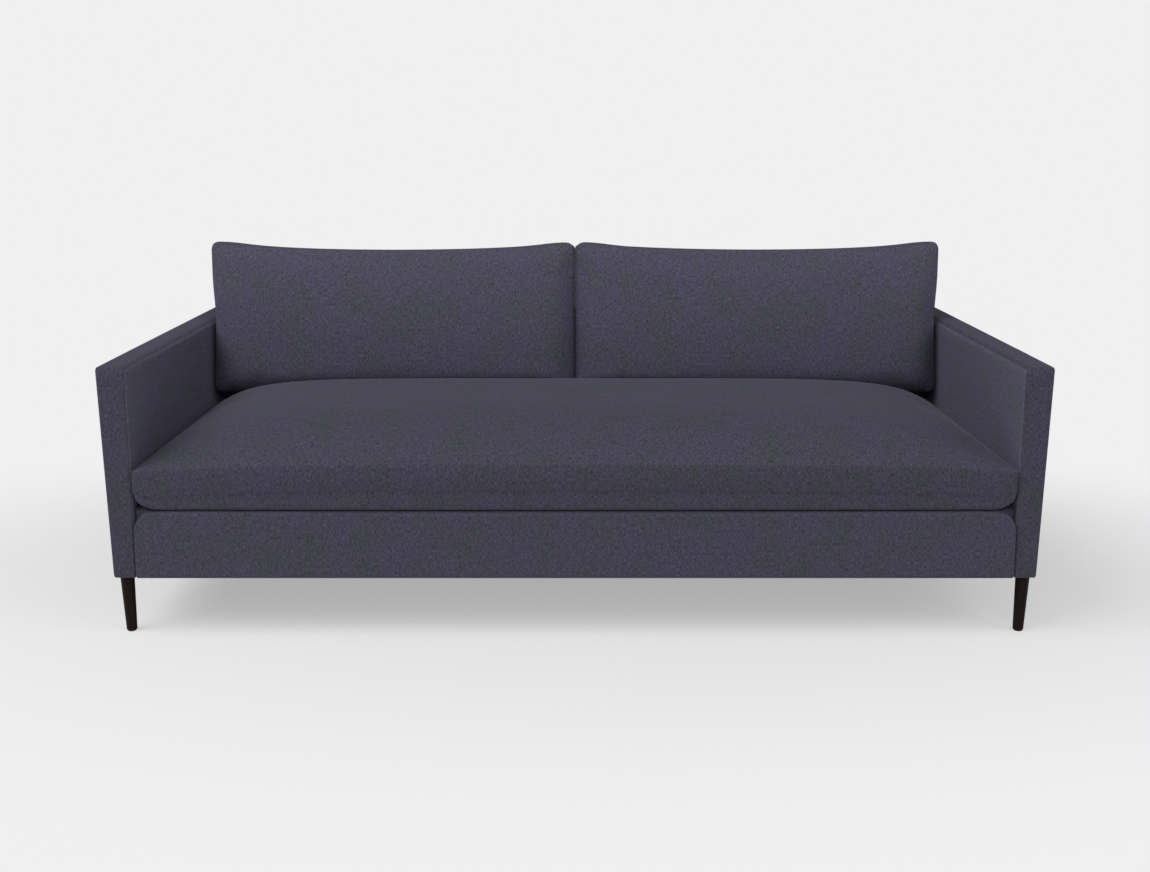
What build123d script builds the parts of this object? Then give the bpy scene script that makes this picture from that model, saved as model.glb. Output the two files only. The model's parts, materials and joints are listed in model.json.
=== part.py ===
"""Three-seat sofa with a bench seat cushion and two loose back cushions, in millimetres.

X runs along the sofa, Y from front to back and Z up. The origin is on the floor under the middle
of the sofa. Left and right are as seen from the front.
"""

import os
from math import atan, cos, sin, tan

from build123d import *

# Overall sizes
overall_width = 2134.0
body_depth = 965.0  # arm fronts to the outside back
arm_height = 635.0
base_height = 139.0  # floor to the underside of the upholstery
deck_height = 303.0  # floor to the deck that the seat cushion lies on

# Arms and back
arm_top_thickness = 63.0
arm_base_thickness = 48.0
back_top_thickness = 139.0
back_deck_thickness = 179.0
edge_radius = 10.0

# Upholstery layers
fabric = 2.0
arm_outer_pad = 6.0
arm_top_pad = 12.0
arm_front_pad = 10.0
back_pad_thickness = 23.0
back_flap = 80.0  # how far the inside back cover comes down behind the top rail
border_depth = 22.0  # front rail's face behind the arm fronts
border_proud = 7.0
border_corner_radius = 42.0
border_edge_radius = 16.0
deck_pad_thickness = 22.5
felt_thickness = 3.0
dust_cloth = 1.0
dust_cover_margin = 4.0

# Timber frame
board = 28.0
rail_board = 30.0
front_post_width = 70.0
rear_post_width = 148.0  # as far forward as the back's rails
arm_rail_height = 60.0
side_rail_height = 110.0
arm_panel = 3.0
backing_panel = 3.0
tuck_rail_height = 55.0
tuck_rail_rise = 8.0  # above the deck, along the leaning back
stretcher_height = 80.0
block_side = 50.0
block_height = 80.0
block_rise = 20.0
screw_radius = 2.5
screw_head_radius = 4.8
screw_head_depth = 3.0
screw_bite = 20.0
screw_spread = 34.0

# Elastic webbing
webbing_thickness = 2.0
seat_strap_count = 14
seat_strap_width = 70.0
seat_strap_margin = 82.0  # last strap's middle line, in from the arm frame
seat_strap_end = 4.0  # strap's end in from the rail's edge
clamp_thickness = 1.5
clamp_depth = 18.0
back_strap_count = 9
back_strap_width = 60.0
back_strap_margin = 183.0

# Legs
leg_top_radius = 16.0
leg_foot_radius = 12.0
leg_setback = 30.0  # leg centre behind the arm's front, and before the outside back
leg_hole_gap = 0.6
stud_radius = 5.0
stud_in_leg = 30.0
stud_in_post = 27.0
insert_radius = 6.5
insert_length = 25.0
thread_gap = 0.1
glide_radius = 10.0
glide_height = 3.0
glide_edge = 1.0
glide_pin_radius = 1.5
glide_pin_length = 12.0

# Seat cushion
rest_gap = 0.3  # between soft pieces that can be moved apart
seat_overhang = 14.0
seat_corner_overhang = 3.0
seat_back_gap = 8.0  # back of the cushion to the inside back, at the deck
seat_side_gap = 4.0
seat_side_draw = 2.5
seat_boxing = 71.0
seat_corner_lift = 23.0
seat_edge_rise = 19.0
seat_crown = 85.0
seat_shoulder = 108.0
seat_belly = 48.0
seat_belly_shoulder = 45.0
seat_core_margin = 60.0  # foam core's sides in from the cover

# Back cushions
back_cushion_height = 404.0
back_cushion_lift = 129.0  # above the deck, along the leaning back
back_cushion_boxing = 128.0
back_cushion_crown = 42.0
back_cushion_shoulder = 95.0
back_cushion_top_draw = 19.0
back_cushion_side_draw = 5.0
back_cushion_side_gap = 8.0
back_cushion_middle_gap = 3.0
cushion_corner_radius = 16.0
cushion_seam_rise = 4.0

# Zips
zip_tape_width = 24.0
zip_tape = 0.8
zip_coil_width = 6.0
zip_coil = 1.8
zip_gap = 0.3
zip_stop_length = 5.0
zip_slider_length = 14.0
zip_slider_wall = 1.6
seat_zip_margin = 185.0  # zip's ends in from the cushion's sides
back_zip_margin = 107.0
back_zip_inset = 17.0  # zip's middle line, in front of the cushion's back face

# Main planes and levels worked out from the sizes above
outer_x = overall_width / 2
front_y = (seat_overhang - body_depth) / 2
back_y = front_y + body_depth
rear_face_y = back_y - fabric
frame_rear_y = rear_face_y - backing_panel
border_back_y = front_y + border_depth
wood_bottom = base_height + fabric
wood_outer_x = outer_x - fabric - arm_outer_pad
wood_inner_x = wood_outer_x - board
wood_top = arm_height - fabric - arm_top_pad
post_front_y = front_y + fabric + arm_front_pad
felt_top = deck_height - fabric - deck_pad_thickness
tuck_z = felt_top - felt_thickness
strap_top = tuck_z - clamp_thickness
rail_top = strap_top - webbing_thickness
inside_back_deck_y = back_y - back_deck_thickness
back_lean = atan((back_deck_thickness - back_top_thickness) / (arm_height - deck_height))
webbing_layer = fabric + back_pad_thickness
rail_layer = webbing_layer + webbing_thickness
back_rail_top = (wood_top - deck_height + rail_layer * sin(back_lean)) / cos(back_lean)
leg_x = (wood_inner_x + wood_outer_x) / 2
leg_places = [
    (x, y, 0)
    for x in (-leg_x, leg_x)
    for y in (front_y + leg_setback, back_y - leg_setback)
]
front_rail_back_y = border_back_y + rail_board
rear_rail_front_y = frame_rear_y - rail_board
seat_strap_spacing = 2 * (wood_inner_x - seat_strap_margin) / (seat_strap_count - 1)
back_strap_spacing = 2 * (wood_inner_x - back_strap_margin) / (back_strap_count - 1)
upright_xs = [-3 * seat_strap_spacing, 0.0, 3 * seat_strap_spacing]
cut_margin = 2.0  # how far a cutting solid runs past what it cuts


def inner_x(z):
    """Half the room between the arms at height z, where the arms' inner faces lean in upwards."""
    share = (z - base_height) / (arm_height - base_height)
    return outer_x - arm_base_thickness - (arm_top_thickness - arm_base_thickness) * share


def inside_back_y(z, behind=0.0):
    """Y of the leaning inside back at height z, or of the layer that lies behind it."""
    return inside_back_deck_y + (z - deck_height) * tan(back_lean) + behind / cos(back_lean)


def back_point(up, behind):
    """(y, z) of a point up the leaning back from the deck, and behind its face."""
    y = inside_back_deck_y + up * sin(back_lean) + behind * cos(back_lean)
    return y, deck_height + up * cos(back_lean) - behind * sin(back_lean)


def block(x_range, y_range, z_range):
    """A box between two limits on each axis, as a part."""
    with BuildPart() as box:
        with BuildSketch(Plane.XY.offset(z_range[0])):
            with Locations(((x_range[0] + x_range[1]) / 2, (y_range[0] + y_range[1]) / 2)):
                Rectangle(x_range[1] - x_range[0], y_range[1] - y_range[0])
        extrude(amount=z_range[1] - z_range[0])
    return box.part


def side_profile(points, half_width, middle=0.0):
    """A (y, z) polygon carried along X, as far as half_width to each side of the middle."""
    with BuildPart() as piece:
        with BuildSketch(Plane.YZ.offset(middle - half_width)):
            with BuildLine():
                Polyline(*points, close=True)
            make_face()
        extrude(amount=2 * half_width)
    return piece.part


def save(part, name):
    """Labels a finished piece and writes its STEP file."""
    part.label = name
    export_step(part, f"parts/{name}.step")


def save_pair(part, name):
    """Writes a right-hand piece, and its mirror image as the left-hand one."""
    with BuildPart() as left:
        mirror(part, about=Plane.YZ)
    save(part, f"right_{name}")
    save(left.part, f"left_{name}")


os.makedirs("parts", exist_ok=True)

# Legs, with the threaded studs and inserts that hold them and the glides under them
leg_top = wood_bottom

with BuildPart() as leg:
    with BuildSketch(Plane.XZ):
        with BuildLine():
            Polyline(
                (0, glide_height),
                (leg_foot_radius, glide_height),
                (leg_top_radius, leg_top),
                (0, leg_top),
                close=True,
            )
        make_face()
    revolve(axis=Axis.Z)
    chamfer(leg.edges().group_by(Axis.Z)[0], glide_edge)
    with Locations((0, 0, leg_top)):
        Hole(stud_radius + thread_gap, stud_in_leg)
    with Locations(Location((0, 0, glide_height), (180, 0, 0))):
        Hole(glide_pin_radius + thread_gap, glide_pin_length)

for name, place in zip(("left_front", "left_rear", "right_front", "right_rear"), leg_places):
    with BuildPart() as placed_leg:
        with Locations(place):
            add(leg.part)
    save(placed_leg.part, f"{name}_leg")

with BuildPart() as leg_studs:
    with Locations(*leg_places):
        with Locations((0, 0, leg_top - stud_in_leg)):
            Cylinder(
                stud_radius,
                stud_in_leg + stud_in_post,
                align=(Align.CENTER, Align.CENTER, Align.MIN),
            )
save(leg_studs.part, "leg_studs")

with BuildPart() as leg_inserts:
    with BuildSketch(Plane.XY.offset(wood_bottom)):
        with Locations(*leg_places):
            Circle(insert_radius)
            Circle(stud_radius + thread_gap, mode=Mode.SUBTRACT)
    extrude(amount=insert_length)
save(leg_inserts.part, "leg_inserts")

with BuildPart() as glide:
    Cylinder(glide_radius, glide_height, align=(Align.CENTER, Align.CENTER, Align.MIN))
    chamfer(glide.edges().group_by(Axis.Z)[0], glide_edge)
    with Locations((0, 0, glide_height)):
        Cylinder(
            glide_pin_radius,
            glide_pin_length,
            align=(Align.CENTER, Align.CENTER, Align.MIN),
        )

with BuildPart() as foot_glides:
    with Locations(*leg_places):
        add(glide.part)
save(foot_glides.part, "foot_glides")

with BuildPart() as leg_sockets:
    with BuildSketch(Plane.XY.offset(wood_bottom)):
        with Locations(*leg_places):
            Circle(insert_radius + thread_gap)
    extrude(amount=stud_in_post + cut_margin)

# Screws that hold the glue blocks in the base's corners
block_z = wood_bottom + block_rise
screw_length = block_side + screw_bite

with BuildPart() as screw:
    with BuildSketch(Plane.XZ):
        with BuildLine():
            Polyline(
                (0, 0),
                (screw_head_radius, 0),
                (screw_radius, -screw_head_depth),
                (screw_radius, -screw_length),
                (0, -screw_length),
                close=True,
            )
        make_face()
    revolve(axis=Axis.Z)

screw_low_z = block_z + (block_height - screw_spread) / 2
screw_high_z = screw_low_z + screw_spread
screw_places = []
for end in (-1, 1):
    for face_y, inward in ((front_rail_back_y, 1), (rear_rail_front_y, -1)):
        middle = block_side / 2
        into_side = (end * (wood_inner_x - block_side), face_y + inward * middle, screw_low_z)
        into_rail = (
            end * (wood_inner_x - middle),
            face_y + inward * block_side,
            screw_high_z,
        )
        screw_places.append(Location(into_side, (0, -90 * end, 0)))
        screw_places.append(Location(into_rail, (-90 * inward, 0, 0)))

with BuildPart() as corner_screws:
    with Locations(*screw_places):
        add(screw.part)
save(corner_screws.part, "corner_screws")

with BuildPart() as corner_blocks:
    for end in (-1, 1):
        x_range = sorted((end * wood_inner_x, end * (wood_inner_x - block_side)))
        for y_low in (front_rail_back_y, rear_rail_front_y - block_side):
            add(block(x_range, (y_low, y_low + block_side), (block_z, block_z + block_height)))
    add(corner_screws.part, mode=Mode.SUBTRACT)
save(corner_blocks.part, "corner_blocks")

# Base frame between the arms
for name, y_low in (("front_rail", border_back_y), ("rear_rail", rear_rail_front_y)):
    with BuildPart() as rail:
        add(
            block(
                (-wood_inner_x, wood_inner_x),
                (y_low, y_low + rail_board),
                (wood_bottom, rail_top),
            )
        )
        add(corner_screws.part, mode=Mode.SUBTRACT)
    save(rail.part, name)

with BuildPart() as seat_stretchers:
    for x in upright_xs:
        add(
            block(
                (x - board / 2, x + board / 2),
                (front_rail_back_y, rear_rail_front_y),
                (wood_bottom, wood_bottom + stretcher_height),
            )
        )
save(seat_stretchers.part, "seat_stretchers")

# Arm frames
arm_boards = (wood_inner_x, wood_outer_x)
front_post_back_y = post_front_y + front_post_width
rear_post_front_y = frame_rear_y - rear_post_width
between_posts = (front_post_back_y, rear_post_front_y)
side_rail_top = wood_bottom + side_rail_height
arm_rail_bottom = wood_top - arm_rail_height

for name, y_range in (
    ("arm_front_post", (post_front_y, front_post_back_y)),
    ("arm_rear_post", (rear_post_front_y, frame_rear_y)),
):
    with BuildPart() as post:
        add(block(arm_boards, y_range, (wood_bottom, wood_top)))
        add(leg_sockets.part, mode=Mode.SUBTRACT)
        add(corner_screws.part, mode=Mode.SUBTRACT)
    save_pair(post.part, name)

with BuildPart() as side_rail:
    add(block(arm_boards, between_posts, (wood_bottom, side_rail_top)))
    add(corner_screws.part, mode=Mode.SUBTRACT)
save_pair(side_rail.part, "side_rail")

save_pair(block(arm_boards, between_posts, (arm_rail_bottom, wood_top)), "arm_top_rail")
save_pair(
    block(
        (wood_inner_x, wood_inner_x + arm_panel),
        between_posts,
        (side_rail_top, arm_rail_bottom),
    ),
    "arm_panel",
)

# Back frame: a tuck rail at the deck, a top rail, and uprights that stand on the rear rail
tuck_rail_top = tuck_rail_rise + tuck_rail_height
rail_back = rail_layer + rail_board


def leaning_rail(low, high):
    """A back rail between two distances up the leaning back, as long as the room between the posts."""
    corners = ((low, rail_layer), (high, rail_layer), (high, rail_back), (low, rail_back))
    return side_profile([back_point(*corner) for corner in corners], wood_inner_x)


with BuildPart() as tuck_rail:
    add(leaning_rail(tuck_rail_rise, tuck_rail_top))
save(tuck_rail.part, "back_tuck_rail")

back_rail_bottom = back_rail_top - arm_rail_height
with BuildPart() as top_rail:
    add(leaning_rail(back_rail_bottom, back_rail_top))
save(top_rail.part, "back_top_rail")

with BuildPart() as back_uprights:
    head_front = back_point(back_rail_bottom, rail_layer)
    head_back = back_point(back_rail_bottom, rail_back)
    outline = [
        (rear_rail_front_y, rail_top),
        back_point(0, rail_layer),
        head_front,
        head_back,
        (frame_rear_y, head_back[1]),
        (frame_rear_y, rail_top),
    ]
    for x in upright_xs:
        add(side_profile(outline, board / 2, x))
    add(tuck_rail.part, mode=Mode.SUBTRACT)
save(back_uprights.part, "back_uprights")

with BuildPart() as backing:
    add(
        block(
            (-wood_inner_x, wood_inner_x),
            (frame_rear_y, rear_face_y),
            (wood_bottom, arm_height - back_flap),
        )
    )
save(backing.part, "back_backing_panel")

# Elastic seat webbing from the front rail to the rear rail, and the steel strips that clamp its ends
strap_ys = (border_back_y + seat_strap_end, frame_rear_y - seat_strap_end)
strap_xs = [(i - (seat_strap_count - 1) / 2) * seat_strap_spacing for i in range(seat_strap_count)]
half_strap = seat_strap_width / 2
with BuildPart() as seat_webbing:
    for x in strap_xs:
        add(block((x - half_strap, x + half_strap), strap_ys, (rail_top, strap_top)))
save(seat_webbing.part, "seat_webbing")

with BuildPart() as webbing_clamps:
    for x in strap_xs:
        for y_low in (strap_ys[0], strap_ys[1] - clamp_depth):
            y_range = (y_low, y_low + clamp_depth)
            add(block((x - half_strap, x + half_strap), y_range, (strap_top, tuck_z)))
save(webbing_clamps.part, "webbing_clamps")

deck_half_width = inner_x(deck_height)
deck_back_y = inside_back_y(tuck_z)
deck_area = ((-deck_half_width, deck_half_width), (border_back_y, deck_back_y))
save(block(*deck_area, (tuck_z, felt_top)), "deck_felt")
save(block(*deck_area, (felt_top, deck_height - fabric)), "deck_pad")
save(block(*deck_area, (deck_height - fabric, deck_height)), "deck_cover")

# Elastic webbing across the back frame
with BuildPart() as back_webbing:
    strap = (
        (tuck_rail_rise, webbing_layer),
        (back_rail_top, webbing_layer),
        (back_rail_top, rail_layer),
        (tuck_rail_rise, rail_layer),
    )
    for i in range(back_strap_count):
        x = (i - (back_strap_count - 1) / 2) * back_strap_spacing
        add(side_profile([back_point(*corner) for corner in strap], back_strap_width / 2, x))
save(back_webbing.part, "back_webbing")


# Arm upholstery
def arm_form(inset):
    """The right arm's outline: a slab that thickens upwards, drawn in on every side by inset."""
    low, high = base_height + inset, arm_height - inset
    with BuildPart() as form:
        with BuildSketch(Plane.XZ.offset(inset - rear_face_y)):
            with BuildLine():
                Polyline(
                    (outer_x - inset, low),
                    (outer_x - inset, high),
                    (inner_x(high) + inset, high),
                    (inner_x(low) + inset, low),
                    close=True,
                )
            make_face()
        extrude(amount=rear_face_y - front_y - 2 * inset)
        fillet(form.edges() - form.edges().group_by(Axis.Z)[0], edge_radius - inset)
    return form.part


# Room that the base and the back take between the arm frames
core_room = side_profile(
    [
        (border_back_y, base_height - cut_margin),
        (border_back_y, tuck_z),
        (inside_back_y(tuck_z), tuck_z),
        (inside_back_y(arm_height + cut_margin), arm_height + cut_margin),
        (back_y + cut_margin, arm_height + cut_margin),
        (back_y + cut_margin, base_height - cut_margin),
    ],
    wood_inner_x,
)

with BuildPart() as leg_holes:
    with BuildSketch(Plane.XY.offset(base_height - cut_margin)):
        with Locations(*leg_places):
            Circle(leg_top_radius + leg_hole_gap)
    extrude(amount=wood_bottom - base_height + cut_margin)

with BuildPart() as arm_cover:
    add(arm_form(0))
    add(arm_form(fabric), mode=Mode.SUBTRACT)
    add(core_room, mode=Mode.SUBTRACT)
    add(leg_holes.part, mode=Mode.SUBTRACT)
save_pair(arm_cover.part, "arm_cover")

with BuildPart() as arm_pad:
    add(arm_form(fabric))
    add(
        block(
            arm_boards,
            (post_front_y, rear_face_y),
            (base_height, wood_top),
        ),
        mode=Mode.SUBTRACT,
    )
    add(core_room, mode=Mode.SUBTRACT)
save_pair(arm_pad.part, "arm_pad")


# Padded border over the front rail
def border_form(inset, back):
    """The border's outline with its rounded top corners, drawn in by inset and ending at back."""
    low, high = base_height + inset, deck_height - inset
    with BuildPart() as form:
        with BuildSketch(Plane.XZ.offset(-back)) as outline:
            with BuildLine():
                Polyline(
                    (-inner_x(low) + inset, low),
                    (inner_x(low) - inset, low),
                    (inner_x(high) - inset, high),
                    (-inner_x(high) + inset, high),
                    close=True,
                )
            make_face()
            fillet(outline.vertices().group_by(Axis.Y)[-1], border_corner_radius - inset)
        extrude(amount=back - front_y + border_proud - inset)
        front_edges = form.faces().sort_by(Axis.Y)[0].edges()
        fillet(front_edges - front_edges.group_by(Axis.Z)[0], border_edge_radius - inset)
    return form.part


with BuildPart() as border_cover:
    add(border_form(0, border_back_y))
    add(border_form(fabric, border_back_y + cut_margin), mode=Mode.SUBTRACT)
save(border_cover.part, "front_border_cover")

with BuildPart() as border_pad:
    add(border_form(fabric, border_back_y))
save(border_pad.part, "front_border_pad")


# Back upholstery
def back_form(inset, past):
    """The upholstered back between the arms, drawn in by inset, with its ends and foot run on by past."""
    low, high = tuck_z - past, arm_height - inset
    points = [
        (inside_back_y(low, inset), low),
        (inside_back_y(high, inset), high),
        (rear_face_y - inset, high),
        (rear_face_y - inset, low),
    ]
    with BuildPart() as form:
        add(side_profile(points, wood_inner_x + past))
        long_edges = form.edges().filter_by(Axis.X)
        fillet(long_edges.group_by(Axis.Z)[-1], edge_radius - inset)
    return form.part


flap_bottom = arm_height - back_flap
past_ends = (-outer_x, outer_x)
with BuildPart() as back_cover:
    add(back_form(0, 0))
    add(back_form(fabric, cut_margin), mode=Mode.SUBTRACT)
    add(
        block(past_ends, (rear_face_y - fabric, back_y), (base_height, flap_bottom)),
        mode=Mode.SUBTRACT,
    )
save(back_cover.part, "inside_back_cover")

rail_head = back_point(back_rail_top, webbing_layer)
back_frame_room = side_profile(
    [
        (inside_back_y(base_height, webbing_layer), base_height),
        rail_head,
        (back_y, rail_head[1]),
        (back_y, base_height),
    ],
    outer_x,
)
with BuildPart() as back_pad:
    add(back_form(fabric, 0))
    add(back_frame_room, mode=Mode.SUBTRACT)
save(back_pad.part, "back_pad")

with BuildPart() as outside_back:
    add(
        block(
            (edge_radius - outer_x, outer_x - edge_radius),
            (rear_face_y, back_y),
            (base_height, arm_height - edge_radius),
        )
    )
save(outside_back.part, "outside_back_panel")

with BuildPart() as dust_cover:
    half_width = wood_inner_x - dust_cover_margin
    add(
        block(
            (-half_width, half_width),
            (border_back_y + dust_cover_margin, frame_rear_y - dust_cover_margin),
            (wood_bottom - dust_cloth, wood_bottom),
        )
    )
save(dust_cover.part, "dust_cover")


# Cushions: a plan outline with bowed sides, carried up and cut by a crowned top and bottom
def side_edge(start, end, bow):
    """One side of a cushion's outline, bowed to its right by bow, or straight."""
    along = Vector(*end) - Vector(*start)
    if bow == 0:
        return Line(start, end)
    outward = Vector(along.Y, -along.X).normalized()
    middle = (Vector(*start) + Vector(*end)) / 2 + outward * bow
    return ThreePointArc(start, middle, end)


def crown_arcs(half, shoulder, edge, rise):
    """A crowned line across a cushion: a shoulder arc, a flatter arc over the middle, and a shoulder."""
    crest = edge + 0.75 * rise
    slope = edge + 0.47 * rise
    ThreePointArc((-half, edge), (-half + shoulder / 2, slope), (-half + shoulder, crest))
    ThreePointArc((-half + shoulder, crest), (0, edge + rise), (half - shoulder, crest))
    ThreePointArc((half - shoulder, crest), (half - shoulder / 2, slope), (half, edge))


crown_stations = (-1.0, -0.93, -0.75, 0.0, 0.75, 0.93, 1.0)


def crown_form(plane, half_width, half_length, top, bottom, inset):
    """A cushion's crown, lofted along the plane's X. Top and bottom hold the seam's height at the
    corners, its rise by the middle of a side, the crown's rise over the seam, and the shoulder."""
    with BuildPart() as form:
        for station in crown_stations:
            fullness = 1 - station**8
            seam_share = 1 - station**4
            origin = plane.from_local_coords((station * half_width, 0, 0))
            with BuildSketch(Plane(origin, x_dir=plane.y_dir, z_dir=plane.x_dir)):
                with BuildLine():
                    ends = []
                    for (seam, seam_rise, crown, shoulder), way in ((top, 1), (bottom, -1)):
                        edge = seam + seam_rise * seam_share - way * inset
                        rise = way * (crown * fullness + cushion_seam_rise)
                        crown_arcs(half_length, shoulder, edge, rise)
                        ends.append(edge)
                    Line((-half_length, ends[0]), (-half_length, ends[1]))
                    Line((half_length, ends[0]), (half_length, ends[1]))
                make_face()
        loft()
    return form.part


def cushion_form(plane, width, length, bows, top, bottom, inset):
    """A cushion centred on the plane, drawn in by inset. Bows are for its low, right, high and left
    sides."""
    half_w, half_l = width / 2 - inset, length / 2 - inset
    crown = crown_form(
        plane, width / 2 + cut_margin, length / 2 + abs(bows[0]) + cut_margin, top, bottom, inset
    )
    corners = [(-half_w, -half_l), (half_w, -half_l), (half_w, half_l), (-half_w, half_l)]
    reach = top[0] + top[1] + top[2]
    with BuildPart() as form:
        with BuildSketch(plane.offset(-reach)) as outline:
            with BuildLine():
                for i in range(4):
                    side_edge(corners[i], corners[(i + 1) % 4], bows[i])
            make_face()
            fillet(outline.vertices(), cushion_corner_radius - inset / 2)
        extrude(amount=3 * reach)
        add(crown, mode=Mode.INTERSECT)
    return form.part


seat_half_width = inner_x(deck_height + seat_boxing + seat_corner_lift + seat_crown) - seat_side_gap
seat_depth = body_depth - back_deck_thickness - seat_back_gap  # arm fronts to the cushion's back
seat_length = seat_depth + seat_corner_overhang
seat_middle_y = front_y + (seat_depth - seat_corner_overhang) / 2
seat_plane = Plane((0, seat_middle_y, deck_height))
seat_bows = (seat_overhang - seat_corner_overhang, -seat_side_draw, 0, -seat_side_draw)
seat_top = (seat_corner_lift + seat_boxing, seat_edge_rise, seat_crown, seat_shoulder)
seat_bottom = (seat_corner_lift, seat_edge_rise, seat_belly, seat_belly_shoulder)


def seat_form(inset):
    """The seat cushion, drawn in by inset and flat where it lies on the deck."""
    with BuildPart() as form:
        add(
            cushion_form(
                seat_plane, 2 * seat_half_width, seat_length, seat_bows, seat_top, seat_bottom, inset
            )
        )
        split(bisect_by=Plane.XY.offset(deck_height + rest_gap + inset), keep=Keep.TOP)
    return form.part


seat_filling = seat_form(fabric)
with BuildPart() as seat_cover:
    add(seat_form(0))
    add(seat_filling, mode=Mode.SUBTRACT)
save(seat_cover.part, "seat_cushion_cover")

core_half_width = seat_half_width - seat_core_margin
core_low = deck_height + seat_corner_lift
seat_core = block(
    (-core_half_width, core_half_width),
    (front_y + seat_core_margin, front_y + seat_depth - seat_core_margin),
    (core_low, core_low + seat_boxing),
)
save(seat_core, "seat_cushion_core")

with BuildPart() as seat_wrap:
    add(seat_filling)
    add(seat_core, mode=Mode.SUBTRACT)
save(seat_wrap.part, "seat_cushion_wrap")

back_cushion_inner_x = back_cushion_middle_gap / 2
back_cushion_outer_x = inner_x(arm_height) - back_cushion_side_gap
back_cushion_width = back_cushion_outer_x - back_cushion_inner_x
back_cushion_y, back_cushion_z = back_point(back_cushion_lift + back_cushion_height / 2, 0)
back_cushion_plane = Plane(
    ((back_cushion_inner_x + back_cushion_outer_x) / 2, back_cushion_y, back_cushion_z),
    x_dir=(1, 0, 0),
    z_dir=(0, -cos(back_lean), sin(back_lean)),
)
back_cushion_bows = (
    0,
    -back_cushion_side_draw,
    -back_cushion_top_draw,
    -back_cushion_side_draw,
)
back_cushion_front = (back_cushion_boxing, 0, back_cushion_crown, back_cushion_shoulder)
back_cushion_rear = (0, 0, 0, back_cushion_shoulder)


def back_cushion_form(inset):
    """The right back cushion, drawn in by inset, flat against the back and hollowed by the seat."""
    with BuildPart() as form:
        add(
            cushion_form(
                back_cushion_plane,
                back_cushion_width,
                back_cushion_height,
                back_cushion_bows,
                back_cushion_front,
                back_cushion_rear,
                inset,
            )
        )
        split(bisect_by=back_cushion_plane.offset(rest_gap + inset), keep=Keep.TOP)
        add(seat_form(-rest_gap - inset), mode=Mode.SUBTRACT)
    return form.part


back_fill = back_cushion_form(fabric)
with BuildPart() as back_cushion_cover:
    add(back_cushion_form(0))
    add(back_fill, mode=Mode.SUBTRACT)
save_pair(back_cushion_cover.part, "back_cushion_cover")
save_pair(back_fill, "back_cushion_fill")


# Zips: a tape with its coil and end stops, and a slider that straddles the coil
def zip_chain(plane, length):
    """A closed zip along the plane's X, standing on the plane."""
    with BuildPart() as chain:
        with BuildSketch(plane):
            Rectangle(length, zip_tape_width)
        extrude(amount=zip_tape)
        with BuildSketch(plane.offset(zip_tape)):
            Rectangle(length, zip_coil_width)
        extrude(amount=zip_coil)
        with BuildSketch(plane.offset(zip_tape)):
            stop_x = (length - zip_stop_length) / 2
            with Locations((-stop_x, 0), (stop_x, 0)):
                Rectangle(zip_stop_length, zip_coil_width + 2 * zip_slider_wall)
        extrude(amount=zip_coil + zip_slider_wall)
    return chain.part


def zip_slider(plane, length):
    """The slider at the closed end of a zip of that length, clear of its coil, tape and stop."""
    end_x = length / 2 - zip_stop_length - zip_gap - zip_slider_length / 2
    channel_width = zip_coil_width + 2 * zip_gap
    with BuildPart() as slider:
        with BuildSketch(plane.offset(zip_tape + zip_gap)):
            with Locations((end_x, 0)):
                Rectangle(zip_slider_length, channel_width + 2 * zip_slider_wall)
        extrude(amount=zip_coil + zip_slider_wall)
        with BuildSketch(plane.offset(zip_tape)):
            with Locations((end_x, 0)):
                Rectangle(zip_slider_length, channel_width)
        extrude(amount=zip_coil + zip_gap, mode=Mode.SUBTRACT)
    return slider.part


seat_zip_plane = Plane(
    (0, front_y + seat_depth, deck_height + seat_corner_lift + (seat_boxing + seat_edge_rise) / 2),
    x_dir=(1, 0, 0),
    z_dir=(0, 1, 0),
)
seat_zip_length = 2 * (seat_half_width - seat_zip_margin)
save(zip_chain(seat_zip_plane, seat_zip_length), "seat_zip_chain")
save(zip_slider(seat_zip_plane, seat_zip_length), "seat_zip_slider")

back_zip_plane = Plane(
    back_cushion_plane.from_local_coords((0, -back_cushion_height / 2, back_zip_inset)),
    x_dir=(1, 0, 0),
    z_dir=(0, -sin(back_lean), -cos(back_lean)),
)
back_zip_length = back_cushion_width - 2 * back_zip_margin
save_pair(zip_chain(back_zip_plane, back_zip_length), "back_zip_chain")
save_pair(zip_slider(back_zip_plane, back_zip_length), "back_zip_slider")
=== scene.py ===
"""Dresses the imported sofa: padded arms, front border, deck and back, a bench seat cushion and two back
cushions in brushed fabric, dark tapered legs and a pale studio. Metres, in the frame's own axes."""

import json
import math

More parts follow.
